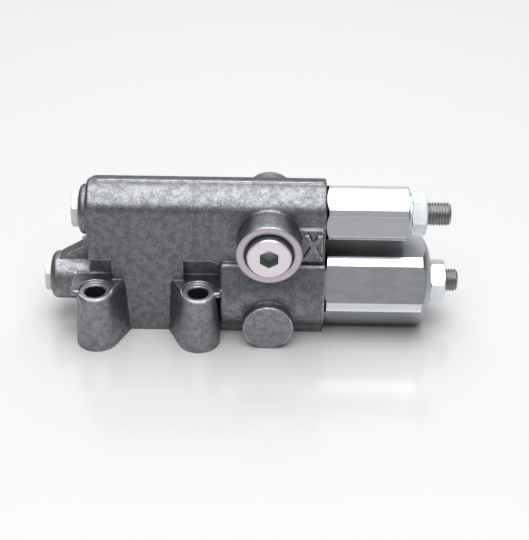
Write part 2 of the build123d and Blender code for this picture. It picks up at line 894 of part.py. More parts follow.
with BuildPart() as pressure_spring_seat:
    spring_seat(pressure_plane, pressure_seat_face, pressure_sleeve_bore_r, inner_spigot_r)
pressure_spring_seat.part.label = "pressure_spring_seat"
export_step(pressure_spring_seat.part, "parts/pressure_spring_seat.step")

with BuildPart() as flow_seat_seal:
    seat_seal(flow_plane, flow_seat_face, flow_sleeve_bore_r)
flow_seat_seal.part.label = "flow_seat_seal"
export_step(flow_seat_seal.part, "parts/flow_seat_seal.step")

with BuildPart() as pressure_seat_seal:
    seat_seal(pressure_plane, pressure_seat_face, pressure_sleeve_bore_r)
pressure_seat_seal.part.label = "pressure_seat_seal"
export_step(pressure_seat_seal.part, "parts/pressure_seat_seal.step")

with BuildPart() as flow_spool_seat:
    spool_seat(flow_plane, flow_spool_right, flow_chamber_r - 1, flow_spigot_r)
flow_spool_seat.part.label = "flow_spool_seat"
export_step(flow_spool_seat.part, "parts/flow_spool_seat.step")

with BuildPart() as pressure_spool_seat:
    spool_seat(pressure_plane, pressure_spool_right, pressure_chamber_r - 0.8, inner_spigot_r)
pressure_spool_seat.part.label = "pressure_spool_seat"
export_step(pressure_spool_seat.part, "parts/pressure_spool_seat.step")

with BuildPart() as flow_spring:
    coil(
        flow_plane,
        flow_spring_left,
        flow_spring_right,
        flow_spring_r,
        flow_wire,
        flow_spring_turns,
    )
flow_spring.part.label = "flow_spring"
export_step(flow_spring.part, "parts/flow_spring.step")

with BuildPart() as pressure_outer_spring:
    coil(
        pressure_plane,
        pressure_spring_left,
        pressure_spring_right,
        outer_spring_r,
        outer_wire,
        outer_spring_turns,
    )
pressure_outer_spring.part.label = "pressure_outer_spring"
export_step(pressure_outer_spring.part, "parts/pressure_outer_spring.step")

with BuildPart() as pressure_inner_spring:
    coil(
        pressure_plane,
        pressure_spring_left,
        pressure_spring_right,
        inner_spring_r,
        inner_wire,
        inner_spring_turns,
    )
pressure_inner_spring.part.label = "pressure_inner_spring"
export_step(pressure_inner_spring.part, "parts/pressure_inner_spring.step")
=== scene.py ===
"""Dresses the hydraulic control valve: finishes, screw threads, the port's letter and the stage."""
import json
from math import cos, pi, radians, sin

import bmesh
import bpy
from mathutils import Euler, Matrix, Vector

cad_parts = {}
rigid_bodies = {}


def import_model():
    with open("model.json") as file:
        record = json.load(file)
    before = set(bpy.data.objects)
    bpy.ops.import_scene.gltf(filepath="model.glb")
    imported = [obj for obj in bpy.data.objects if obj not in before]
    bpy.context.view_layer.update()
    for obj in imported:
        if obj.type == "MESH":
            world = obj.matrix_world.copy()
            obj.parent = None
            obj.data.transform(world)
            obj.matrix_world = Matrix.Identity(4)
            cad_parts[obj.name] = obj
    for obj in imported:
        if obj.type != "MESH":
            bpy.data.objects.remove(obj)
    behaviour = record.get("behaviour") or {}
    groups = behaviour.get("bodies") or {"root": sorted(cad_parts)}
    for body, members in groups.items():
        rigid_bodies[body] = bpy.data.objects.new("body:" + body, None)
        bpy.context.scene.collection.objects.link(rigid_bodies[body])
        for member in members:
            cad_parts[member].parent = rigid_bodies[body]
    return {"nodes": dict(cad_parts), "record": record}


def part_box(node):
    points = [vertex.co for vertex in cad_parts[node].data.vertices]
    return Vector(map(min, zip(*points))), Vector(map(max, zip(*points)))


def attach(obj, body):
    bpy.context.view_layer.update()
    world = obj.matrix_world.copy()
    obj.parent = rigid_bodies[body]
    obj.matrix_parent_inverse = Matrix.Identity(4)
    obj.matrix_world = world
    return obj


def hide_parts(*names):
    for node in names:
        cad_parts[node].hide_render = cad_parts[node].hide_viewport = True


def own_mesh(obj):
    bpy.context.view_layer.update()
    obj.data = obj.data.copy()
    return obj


bl_info = {
    "name": "Hydraulic Control Valve",
    "version": (1, 0, 0),
    "blender": (4, 5, 0),
    "location": "3D View > Sidebar > Valve",
    "description": "Finishes, threads, the port letter and the stage of a hydraulic control valve",
    "category": "Object",
}

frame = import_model()
nodes = frame["nodes"]


def axis_height(node):
    """Height of the X axis that a turned node lies on."""
    low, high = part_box(node)
    return (low.z + high.z) / 2


FLOW_Z = axis_height("flow_nut_washer")
PRESSURE_Z = axis_height("pressure_nut_washer")
PORT_LOW, PORT_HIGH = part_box("x_port_plug")
PORT_X = (PORT_LOW.x + PORT_HIGH.x) / 2
PORT_Z = (PORT_LOW.z + PORT_HIGH.z) / 2

# Cut faces of the casting: the X port's face, the seats of the four bolts and the foot
PORT_FACE_Y = -0.0199
PORT_FACE_RADIUS = 0.0120
PORT_FACE_SKIN = 0.00012
BOLT_X = 0.0175
BOLT_Y = 0.0160
BOLT_SEAT_Z = 0.0205
BOLT_SEAT_RADIUS = 0.0054
CUT_SKIN = 0.00008

# Where painted light makes the casting's outlying parts lighter: over the lugs, and at the left end
# boss
ASIDE_Y = (0.0135, 0.0205)
LEFTWARD_X = (0.0195, 0.0225)
LEFTWARD_SHARE = 0.6

# The X port plug's socket, and how near a face counts as on it
SOCKET_RADIUS = 0.0036
SOCKET_DEPTH = 0.0046
SOCKET_LIP = 0.00015
PLUG_SKIN = 0.0001

# Length of each sleeve's crown, whose cut is duller than the turned corners
CROWN = {"flow_sleeve": 0.0007, "pressure_sleeve": 0.0036}
LAND_SKIN = 0.00006
SLEEVE_SHADE_REACH = 0.011

# Widths of rounded edges and height of the finest marks
CAST_EDGE = 0.0011
METAL_EDGE = 0.0003
FINE_EDGE = 0.0002
MARK_HEIGHT = 0.00002

# Shares of the cast skin's grain and waves in its relief and in its tone
GRAIN_RELIEF = 0.55
WAVE_RELIEF = 0.9
GRAIN_TONE = 0.6
WAVE_TONE = 0.4

# Lathe marks: size of the noise that bends them, and by how many rings it does
BEND_SCALE = 300.0
BEND_RINGS = 1.5

# How many specks lie across one patch of a mottled metal
SPECKS_PER_PATCH = 7.0

# Tones of a metal, as factors of its own colour
CAST_PITS = 0.62
CAST_PEAKS = 1.5
# Painted light on the casting's outlying parts
CAST_PAINTED_LIGHT = 2.1
# Painted shade in the casting's hollows
CAST_HOLLOW_SHADE = 0.7
CAST_WORN = 5.0
CAST_SEAT = 3.0
SLEEVE_DULL = 0.93
SLEEVE_TURNED = 1.5
# Painted shade where other parts close round a sleeve
SLEEVE_PAINTED_SHADE = 0.12
ZINC_DULL = 0.9

# Plain colours
# Painted shade on the port socket's walls and the port plug's side, painted light on the socket's
# floor
SOCKET_WALL_PAINTED_SHADE = (0.22, 0.25, 0.24)
SOCKET_FLOOR_PAINTED_LIGHT = (0.66, 0.74, 0.70)
PLUG_SIDE_PAINTED_SHADE = (0.16, 0.17, 0.18)
SPRING_STEEL = (0.22, 0.22, 0.24)
GROUND_STEEL = (0.55, 0.56, 0.57)
BRASS = (0.72, 0.52, 0.2)
RUBBER = (0.02, 0.02, 0.021)
BACKDROP = (0.9, 0.9, 0.9)

# Thread: rows of points to one pitch, and the flank's slope and start as shares of its depth
ROWS_PER_PITCH = 8
FLANK_SLOPE = 2.6
FLANK_START = -0.2
WELD_DISTANCE = 0.00001

FLOOR_HALF = 3.0


class ValveStage(bpy.types.PropertyGroup):
    """Camera, floor and lamps."""

    elevation: bpy.props.FloatProperty(
        name="Elevation",
        description="Camera's angle above the horizon",
        default=radians(34.68),
        subtype="ANGLE",
    )
    azimuth: bpy.props.FloatProperty(
        name="Azimuth",
        description="Camera's turn round the valve, 0 looks along +Y",
        default=0.0,
        subtype="ANGLE",
    )
    roll: bpy.props.FloatProperty(
        name="Roll",
        description="Camera's tilt about its own view",
        default=radians(0.89),
        subtype="ANGLE",
    )
    distance: bpy.props.FloatProperty(
        name="Distance", description="Camera to its target", default=0.458, unit="LENGTH"
    )
    lens: bpy.props.FloatProperty(
        name="Lens", description="Focal length in millimetres", default=87.2, min=1.0
    )
    target: bpy.props.FloatVectorProperty(
        name="Target",
        description="Point in the middle of the picture",
        default=(0.03994, 0.0, 0.0192),
        subtype="TRANSLATION",
    )
    floor_colour: bpy.props.FloatVectorProperty(
        name="Floor", description="Colour of the floor", default=(0.60, 0.60, 0.60), subtype="COLOR"
    )
    world_colour: bpy.props.FloatVectorProperty(
        name="Surroundings",
        description="Colour of the room round the stage",
        default=(0.10, 0.103, 0.108),
        subtype="COLOR",
    )
    top_power: bpy.props.FloatProperty(
        name="Top lamp", description="Power of the lamp overhead", default=13.6, unit="POWER"
    )
    front_power: bpy.props.FloatProperty(
        name="Front lamp", description="Power of the panel in front", default=1.5, unit="POWER"
    )
    back_power: bpy.props.FloatProperty(
        name="Back lamp", description="Power of the wall of light behind", default=7.5, unit="POWER"
    )


class ValveFinish(bpy.types.PropertyGroup):
    """Colours and grain of the metals."""

    iron: bpy.props.FloatVectorProperty(
        name="Cast iron", description="Cast skin", default=(0.172, 0.176, 0.186), subtype="COLOR"
    )
    machined: bpy.props.FloatVectorProperty(
        name="Machined iron",
        description="Cut faces of the casting",
        default=(0.56, 0.50, 0.535),
        subtype="COLOR",
    )
    steel: bpy.props.FloatVectorProperty(
        name="Sleeve steel",
        description="Hexagon sleeves",
        default=(0.47, 0.48, 0.50),
        subtype="COLOR",
    )
    nut_zinc: bpy.props.FloatVectorProperty(
        name="Nut zinc", description="Lock nuts", default=(0.80, 0.86, 0.88), subtype="COLOR"
    )
    plug_zinc: bpy.props.FloatVectorProperty(
        name="Plug zinc", description="End plugs", default=(0.66, 0.68, 0.64), subtype="COLOR"
    )
    port_zinc: bpy.props.FloatVectorProperty(
        name="Port plug zinc",
        description="Plug of the X port",
        default=(0.84, 0.78, 0.83),
        subtype="COLOR",
    )
    screw: bpy.props.FloatVectorProperty(
        name="Screw steel",
        description="Adjusting screws",
        default=(0.37, 0.365, 0.375),
        subtype="COLOR",
    )
    grain: bpy.props.FloatProperty(
        name="Cast grain",
        description="Height of the cast skin's grain",
        default=0.00012,
        unit="LENGTH",
    )


class ValveThread(bpy.types.PropertyGroup):
    """Thread of the adjusting screws."""

    pitch: bpy.props.FloatProperty(
        name="Pitch", description="From one ridge to the next", default=0.001, unit="LENGTH"
    )
    depth: bpy.props.FloatProperty(
        name="Depth", description="From crest to root", default=0.00055, unit="LENGTH"
    )
    point: bpy.props.FloatProperty(
        name="Point", description="Chamfer at the screw's ends", default=0.0008, unit="LENGTH"
    )
    socket: bpy.props.FloatProperty(
        name="Socket", description="Across the flats of the socket", default=0.004, unit="LENGTH"
    )


class ValveLetter(bpy.types.PropertyGroup):
    """Raised letter beside the X port."""

    height: bpy.props.FloatProperty(
        name="Height", description="Height of the letter", default=0.0088, unit="LENGTH"
    )
    width: bpy.props.FloatProperty(
        name="Width", description="Width of the letter", default=0.006, unit="LENGTH"
    )
    stroke: bpy.props.FloatProperty(
        name="Stroke", description="Width of a stroke", default=0.0014, unit="LENGTH"
    )
    raised: bpy.props.FloatProperty(
        name="Raised", description="How far it stands proud", default=0.0009, unit="LENGTH"
    )
    draft: bpy.props.FloatProperty(
        name="Draft", description="How far its sides lean out", default=0.00045, unit="LENGTH"
    )
    centre: bpy.props.FloatVectorProperty(
        name="Centre",
        description="Middle of the letter, at the pad's face",
        default=(0.0562, -0.011, 0.0368),
        subtype="TRANSLATION",
    )


class Tree:
    """A node tree with short ways to add a node and to join sockets."""

    def __init__(self, tree):
        self.tree = tree

    def add(self, kind, **values):
        """A new node with some of its settings."""
        node = self.tree.nodes.new(kind)
        for name, value in values.items():
            setattr(node, name, value)
        return node

    def link(self, source, target):
        self.tree.links.new(source, target)

    def feed(self, socket, value):
        """Gives a socket a link, a number or a colour."""
        if isinstance(value, bpy.types.NodeSocket):
            self.link(value, socket)
        elif isinstance(value, (int, float)):
            socket.default_value = value
        else:
            socket.default_value = (*value, 1.0)

    def math(self, operation, first, second=0.0, third=0.0):
        """A sum on sockets or plain numbers."""
        node = self.add("ShaderNodeMath", operation=operation)
        for socket, value in zip(node.inputs, (first, second, third)):
            self.feed(socket, value)
        return node.outputs[0]

    def length(self, first, second):
        """Length of a line from its two sides."""
        squares = (self.math("MULTIPLY", side, side) for side in (first, second))
        return self.math("SQRT", self.math("ADD", *squares))

    def between(self, value, low, high):
        """Runs from low to high as the value runs from 0 to 1."""
        return self.math("MULTIPLY_ADD", value, high - low, low)

    def step(self, value, low, high):
        """0 below low, 1 above high, smooth between."""
        node = self.add("ShaderNodeMapRange", interpolation_type="SMOOTHSTEP")
        self.link(value, node.inputs["Value"])
        node.inputs["From Min"].default_value = low
        node.inputs["From Max"].default_value = high
        return node.outputs["Result"]

    def mix(self, factor, first, second):
        """Colours mixed by a factor."""
        node = self.add("ShaderNodeMix", data_type="RGBA")
        self.feed(node.inputs[0], factor)
        self.feed(node.inputs[6], first)
        self.feed(node.inputs[7], second)
        return node.outputs[2]

    def blend(self, factor, first, second):
        """Numbers mixed by a factor."""
        node = self.add("ShaderNodeMix", data_type="FLOAT")
        self.feed(node.inputs[0], factor)
        self.feed(node.inputs[2], first)
        self.feed(node.inputs[3], second)
        return node.outputs[0]

    def place(self):
        """The place in the object's own coordinates."""
        return self.add("ShaderNodeTexCoord").outputs["Object"]

    def axes(self):
        """X, Y and Z of the place."""
        split = self.add("ShaderNodeSeparateXYZ")
        self.link(self.place(), split.inputs[0])
        return tuple(split.outputs)

    def noise(self, place, scale, detail=2.0, roughness=0.5):
        """Noise at a place, from 0 to 1."""
        texture = self.add("ShaderNodeTexNoise")
        texture.inputs["Detail"].default_value = detail
        texture.inputs["Roughness"].default_value = roughness
        self.link(place, texture.inputs["Vector"])
        self.feed(texture.inputs["Scale"], scale)
        return texture.outputs["Fac"]

    def group(self, name, **values):
        """A shader group with its inputs."""
        node = self.add("ShaderNodeGroup", node_tree=bpy.data.node_groups[name])
        for socket, value in values.items():
            self.feed(node.inputs[socket], value)
        return node


def new_tree(name, kind, inputs, outputs):
    """An empty tree with named sockets; returns it with its input and output nodes."""
    tree = bpy.data.node_groups.new(name, kind)
    for socket, socket_type, default in inputs:
        item = tree.interface.new_socket(socket, in_out="INPUT", socket_type=socket_type)
        if default is not None:
            item.default_value = default
    for socket, socket_type in outputs:
        tree.interface.new_socket(socket, in_out="OUTPUT", socket_type=socket_type)
    helper = Tree(tree)
    return helper, helper.add("NodeGroupInput"), helper.add("NodeGroupOutput")


def make_cast_skin():
    """Sand-cast skin: fine grain over shallow waves, with a tone that follows them."""
    shader, given, out = new_tree(
        "Cast skin",
        "ShaderNodeTree",
        (("Grain scale", "NodeSocketFloat", 1800.0), ("Wave scale", "NodeSocketFloat", 400.0)),
        (("Height", "NodeSocketFloat"), ("Tone", "NodeSocketFloat")),
    )
    place = shader.place()
    grain = shader.noise(place, given.outputs["Grain scale"], detail=3.0, roughness=0.6)
    wave = shader.noise(place, given.outputs["Wave scale"])
    height = shader.math(
        "ADD",
        shader.math("MULTIPLY", grain, GRAIN_RELIEF),
        shader.math("MULTIPLY", wave, WAVE_RELIEF),
    )
    shader.link(height, out.inputs["Height"])
    tone = shader.math(
        "ADD",
        shader.math("MULTIPLY", shader.step(grain, low=0.32, high=0.68), GRAIN_TONE),
        shader.math("MULTIPLY", shader.step(wave, low=0.35, high=0.65), WAVE_TONE),
    )
    shader.link(tone, out.inputs["Tone"])


def make_turned_marks():
    """Fine rings that a lathe leaves, one to each pitch along its axis."""
    shader, given, out = new_tree(
        "Turned marks",
        "ShaderNodeTree",
        (("Along", "NodeSocketFloat", 0.0), ("Pitch", "NodeSocketFloat", 0.0003)),
        (("Height", "NodeSocketFloat"), ("Tone", "NodeSocketFloat")),
    )
    blur = shader.noise(shader.place(), BEND_SCALE)
    phase = shader.math("DIVIDE", given.outputs["Along"], given.outputs["Pitch"])
    bent = shader.math("MULTIPLY_ADD", blur, BEND_RINGS, phase)
    wave = shader.math("SINE", shader.math("MULTIPLY", bent, 2 * pi))
    height = shader.math("MULTIPLY_ADD", wave, 0.5, 0.5)
    shader.link(height, out.inputs["Height"])
    shader.link(shader.math("MULTIPLY", height, blur), out.inputs["Tone"])


def make_edge_wear_and_shade():
    """Marks worn ridges, where a rounded normal leans from the true one in the open, and hollows
    that get painted shade.
    """
    shader, given, out = new_tree(
        "Edge wear and hollow shade",
        "ShaderNodeTree",
        (("Width", "NodeSocketFloat", 0.0004), ("Reach", "NodeSocketFloat", 0.004)),
        (
            ("Edge", "NodeSocketFloat"),
            ("Hollow shade", "NodeSocketFloat"),
            ("Normal", "NodeSocketVector"),
        ),
    )
    bevel = shader.add("ShaderNodeBevel", samples=6)
    shader.link(given.outputs["Width"], bevel.inputs["Radius"])
    lean = shader.add("ShaderNodeVectorMath", operation="DOT_PRODUCT")
    shader.link(bevel.outputs["Normal"], lean.inputs[0])
    shader.link(shader.add("ShaderNodeNewGeometry").outputs["Normal"], lean.inputs[1])
    away = shader.step(shader.math("SUBTRACT", 1.0, lean.outputs["Value"]), low=0.01, high=0.10)
    around = shader.add("ShaderNodeAmbientOcclusion", samples=8)
    shader.link(given.outputs["Reach"], around.inputs["Distance"])
    openness = around.outputs["AO"]
    edge = shader.math("MULTIPLY", away, shader.step(openness, low=0.72, high=0.92))
    # Painted shade for hollows, where little of the open is seen
    hollow_shade = shader.math("SUBTRACT", 1.0, shader.step(openness, low=0.2, high=0.7))
    shader.link(edge, out.inputs["Edge"])
    shader.link(hollow_shade, out.inputs["Hollow shade"])
    shader.link(bevel.outputs["Normal"], out.inputs["Normal"])


def make_axis_radius():
    """Distance from an X axis at a given height, and the place along it."""
    shader, given, out = new_tree(
        "Axis radius",
        "ShaderNodeTree",
        (("Height", "NodeSocketFloat", 0.0),),
        (("Radius", "NodeSocketFloat"), ("Along", "NodeSocketFloat")),
    )
    x, y, z = shader.axes()
    up = shader.math("SUBTRACT", z, given.outputs["Height"])
    shader.link(shader.length(up, y), out.inputs["Radius"])
    shader.link(x, out.inputs["Along"])


def make_mottle():
    """Patches and fine specks of a plated or drawn metal."""
    shader, given, out = new_tree(
        "Mottle",
        "ShaderNodeTree",
        (("Scale", "NodeSocketFloat", 400.0), ("Stretch", "NodeSocketFloat", 1.0)),
        (("Patch", "NodeSocketFloat"), ("Speck", "NodeSocketFloat")),
    )
    mapping = shader.add("ShaderNodeMapping")
    shader.link(shader.place(), mapping.inputs["Vector"])
    stretch = shader.add("ShaderNodeCombineXYZ")
    shader.feed(stretch.inputs["X"], given.outputs["Stretch"])
    shader.feed(stretch.inputs["Y"], 1.0)
    shader.feed(stretch.inputs["Z"], 1.0)
    shader.link(stretch.outputs[0], mapping.inputs["Scale"])
    patch = shader.noise(mapping.outputs[0], given.outputs["Scale"], detail=4.0)
    speck_scale = shader.math("MULTIPLY", given.outputs["Scale"], SPECKS_PER_PATCH)
    speck = shader.noise(mapping.outputs[0], speck_scale)
    shader.link(shader.step(patch, low=0.35, high=0.65), out.inputs["Patch"])
    shader.link(shader.step(speck, low=0.3, high=0.7), out.inputs["Speck"])


def tinted(colour, factor):
    """A colour made lighter or darker."""
    return tuple(channel * factor for channel in colour)


def material(name, metallic, roughness=0.5, colour=(0.8, 0.8, 0.8), specular=0.5):
    """A new material; returns it with its tree and its shader node."""
    made = bpy.data.materials.new(name)
    made.use_nodes = True
    principled = made.node_tree.nodes["Principled BSDF"]
    principled.inputs["Metallic"].default_value = metallic
    principled.inputs["Roughness"].default_value = roughness
    principled.inputs["Base Color"].default_value = (*colour, 1.0)
    principled.inputs["Specular IOR Level"].default_value = specular
    return made, Tree(made.node_tree), principled


def bump(shader, principled, height, strength, distance, normal):
    """Raises a material's surface by a height, over a normal."""
    node = shader.add("ShaderNodeBump")
    node.inputs["Strength"].default_value = strength
    node.inputs["Distance"].default_value = distance
    shader.link(height, node.inputs["Height"])
    shader.link(normal, node.inputs["Normal"])
    shader.link(node.outputs["Normal"], principled.inputs["Normal"])


def port_face(shader, y, z):
    """Marks the cut ring round the X port."""
    in_front = shader.math("LESS_THAN", y, PORT_FACE_Y + PORT_FACE_SKIN)
    high_enough = shader.math("GREATER_THAN", z, PORT_Z - PORT_FACE_RADIUS)
    return shader.math("MULTIPLY", in_front, high_enough)


def bolt_seats(shader, x, y, z):
    """Marks the spot faces round the four bolt holes."""
    across = shader.math("SUBTRACT", shader.math("ABSOLUTE", x), BOLT_X)
    back = shader.math("SUBTRACT", shader.math("ABSOLUTE", y), BOLT_Y)
    lift = shader.math("ABSOLUTE", shader.math("SUBTRACT", z, BOLT_SEAT_Z))
    return shader.math(
        "MULTIPLY",
        shader.math("LESS_THAN", lift, CUT_SKIN),
        shader.math("LESS_THAN", shader.length(across, back), BOLT_SEAT_RADIUS),
    )


def cast_iron(finish):
    """Cast skin with painted shade in its corners and painted light on its outlying parts, worn
    light on its edges, with its cut faces bare.
    """
    made, shader, principled = material("Cast iron", metallic=1.0)
    skin = shader.group("Cast skin")
    tone = skin.outputs["Tone"]
    wear_and_shade = shader.group("Edge wear and hollow shade", Width=CAST_EDGE)
    x, y, z = shader.axes()
    foot = shader.math("LESS_THAN", z, CUT_SKIN)
    cut = shader.math("MAXIMUM", port_face(shader, y, z), foot)
    # Painted light: the outlying parts over the lugs and at the left end boss are made lighter
    aside = shader.step(shader.math("ABSOLUTE", y), *ASIDE_Y)
    leftward = shader.step(shader.math("MULTIPLY", x, -1.0), *LEFTWARD_X)
    leftward = shader.math("MULTIPLY", leftward, LEFTWARD_SHARE)
    outlying = shader.math("MAXIMUM", aside, leftward)
    ridge = shader.math("MULTIPLY", wear_and_shade.outputs["Edge"], shader.between(tone, 0.4, 1.0))
    iron = finish.iron
    sooty = shader.mix(tone, tinted(iron, CAST_PITS), tinted(iron, CAST_PEAKS))
    painted_light = shader.mix(tone, iron, tinted(iron, CAST_PAINTED_LIGHT))
    colour = shader.mix(outlying, sooty, painted_light)
    # Painted shade darkens the hollows
    colour = shader.mix(wear_and_shade.outputs["Hollow shade"], colour, tinted(iron, CAST_HOLLOW_SHADE))
    colour = shader.mix(ridge, colour, tinted(iron, CAST_WORN))
    colour = shader.mix(bolt_seats(shader, x, y, z), colour, tinted(iron, CAST_SEAT))
    shader.link(shader.mix(cut, colour, finish.machined), principled.inputs["Base Color"])
    cast_rough = shader.between(tone, 0.48, 0.38)
    rough = shader.math("MULTIPLY_ADD", cut, -0.1, cast_rough)
    shader.link(rough, principled.inputs["Roughness"])
    height = shader.math("MULTIPLY", skin.outputs["Height"], shader.math("SUBTRACT", 1.0, cut))
    bump(shader, principled, height, 0.9, finish.grain, wear_and_shade.outputs["Normal"])
    return made


def sleeve_steel(name, finish, height, land_radius, crown_x):
    """Drawn hexagon bar: mottled flats between bright corners that a lathe has turned, with painted
    shade where other parts close round it.
    """
    made, shader, principled = material(name, metallic=1.0)
    axis = shader.group("Axis radius", Height=height)
    mottle = shader.group("Mottle", Scale=420.0, Stretch=0.5)
    marks = shader.group("Turned marks", Along=axis.outputs["Along"], Pitch=0.00022)
    wear_and_shade = shader.group("Edge wear and hollow shade", Width=METAL_EDGE, Reach=SLEEVE_SHADE_REACH)
    land = shader.math("GREATER_THAN", axis.outputs["Radius"], land_radius - LAND_SKIN)
    crown = shader.math("GREATER_THAN", axis.outputs["Along"], crown_x)
    turned = shader.math("MULTIPLY", land, shader.math("SUBTRACT", 1.0, crown))
    steel = finish.steel
    flat = shader.mix(mottle.outputs["Patch"], tinted(steel, SLEEVE_DULL), steel)
    bare = shader.mix(turned, flat, tinted(steel, SLEEVE_TURNED))
    # Painted shade darkens the steel where the other sleeve and the housing close round it
    colour = shader.mix(wear_and_shade.outputs["Hollow shade"], bare, tinted(steel, SLEEVE_PAINTED_SHADE))
    shader.link(colour, principled.inputs["Base Color"])
    flat_rough = shader.between(mottle.outputs["Patch"], 0.33, 0.38)
    land_rough = shader.between(marks.outputs["Tone"], 0.14, 0.20)
    shader.link(shader.blend(turned, flat_rough, land_rough), principled.inputs["Roughness"])
    relief = shader.blend(turned, mottle.outputs["Speck"], marks.outputs["Height"])
    bump(shader, principled, relief, 0.25, MARK_HEIGHT, wear_and_shade.outputs["Normal"])
    return made


def zinc(name, colour, metallic, roughness):
    """Zinc plate: a pale metal with faint patches and softened corners."""
    made, shader, principled = material(name, metallic, specular=0.3)
    mottle = shader.group("Mottle", Scale=500.0)
    wear_and_shade = shader.group("Edge wear and hollow shade", Width=METAL_EDGE)
    plate = shader.mix(mottle.outputs["Patch"], tinted(colour, ZINC_DULL), colour)
    shader.link(plate, principled.inputs["Base Color"])
    rough = shader.between(mottle.outputs["Patch"], roughness, roughness + 0.08)
    shader.link(rough, principled.inputs["Roughness"])
    bump(shader, principled, mottle.outputs["Speck"], 0.2, MARK_HEIGHT, wear_and_shade.outputs["Normal"])
    return made


def port_plug_zinc(finish):
    """The port plug's plate, with painted shade on its side and on its socket's walls and painted
    light on its socket's floor.
    """
    made, shader, principled = material("Port plug zinc", metallic=0.75, roughness=0.36)
    x, y, z = shader.axes()
    radius = shader.length(
        shader.math("SUBTRACT", x, PORT_X), shader.math("SUBTRACT", z, PORT_Z)
    )
    head_radius = (PORT_HIGH.x - PORT_LOW.x) / 2
    side = shader.math("GREATER_THAN", radius, head_radius - PLUG_SKIN)
    socket = shader.math(
        "MULTIPLY",
        shader.math("LESS_THAN", radius, SOCKET_RADIUS),
        shader.math("GREATER_THAN", y, PORT_LOW.y + SOCKET_LIP),
    )
    bottom = shader.math("GREATER_THAN", y, PORT_LOW.y + SOCKET_DEPTH - PLUG_SKIN)
    # Painted shade on the head's side; in the socket, painted shade on the walls and painted light
    # on the floor
    plate = shader.mix(side, finish.port_zinc, PLUG_SIDE_PAINTED_SHADE)
    bare = shader.mix(bottom, SOCKET_WALL_PAINTED_SHADE, SOCKET_FLOOR_PAINTED_LIGHT)
    shader.link(shader.mix(socket, plate, bare), principled.inputs["Base Color"])
    wear_and_shade = shader.group("Edge wear and hollow shade", Width=METAL_EDGE)
    shader.link(wear_and_shade.outputs["Normal"], principled.inputs["Normal"])
    return made


def plain_metal(name, colour, roughness):
    """A metal with an even finish and faint specks."""
    made, shader, principled = material(name, metallic=1.0, roughness=roughness, colour=colour)
    mottle = shader.group("Mottle", Scale=700.0)
    wear_and_shade = shader.group("Edge wear and hollow shade", Width=FINE_EDGE)
    bump(shader, principled, mottle.outputs["Speck"], 0.25, MARK_HEIGHT, wear_and_shade.outputs["Normal"])
    return made


def dress(node, finish):
    """Puts one finish all over a node."""
    mesh = nodes[node].data
    mesh.materials.clear()
    mesh.materials.append(finish)


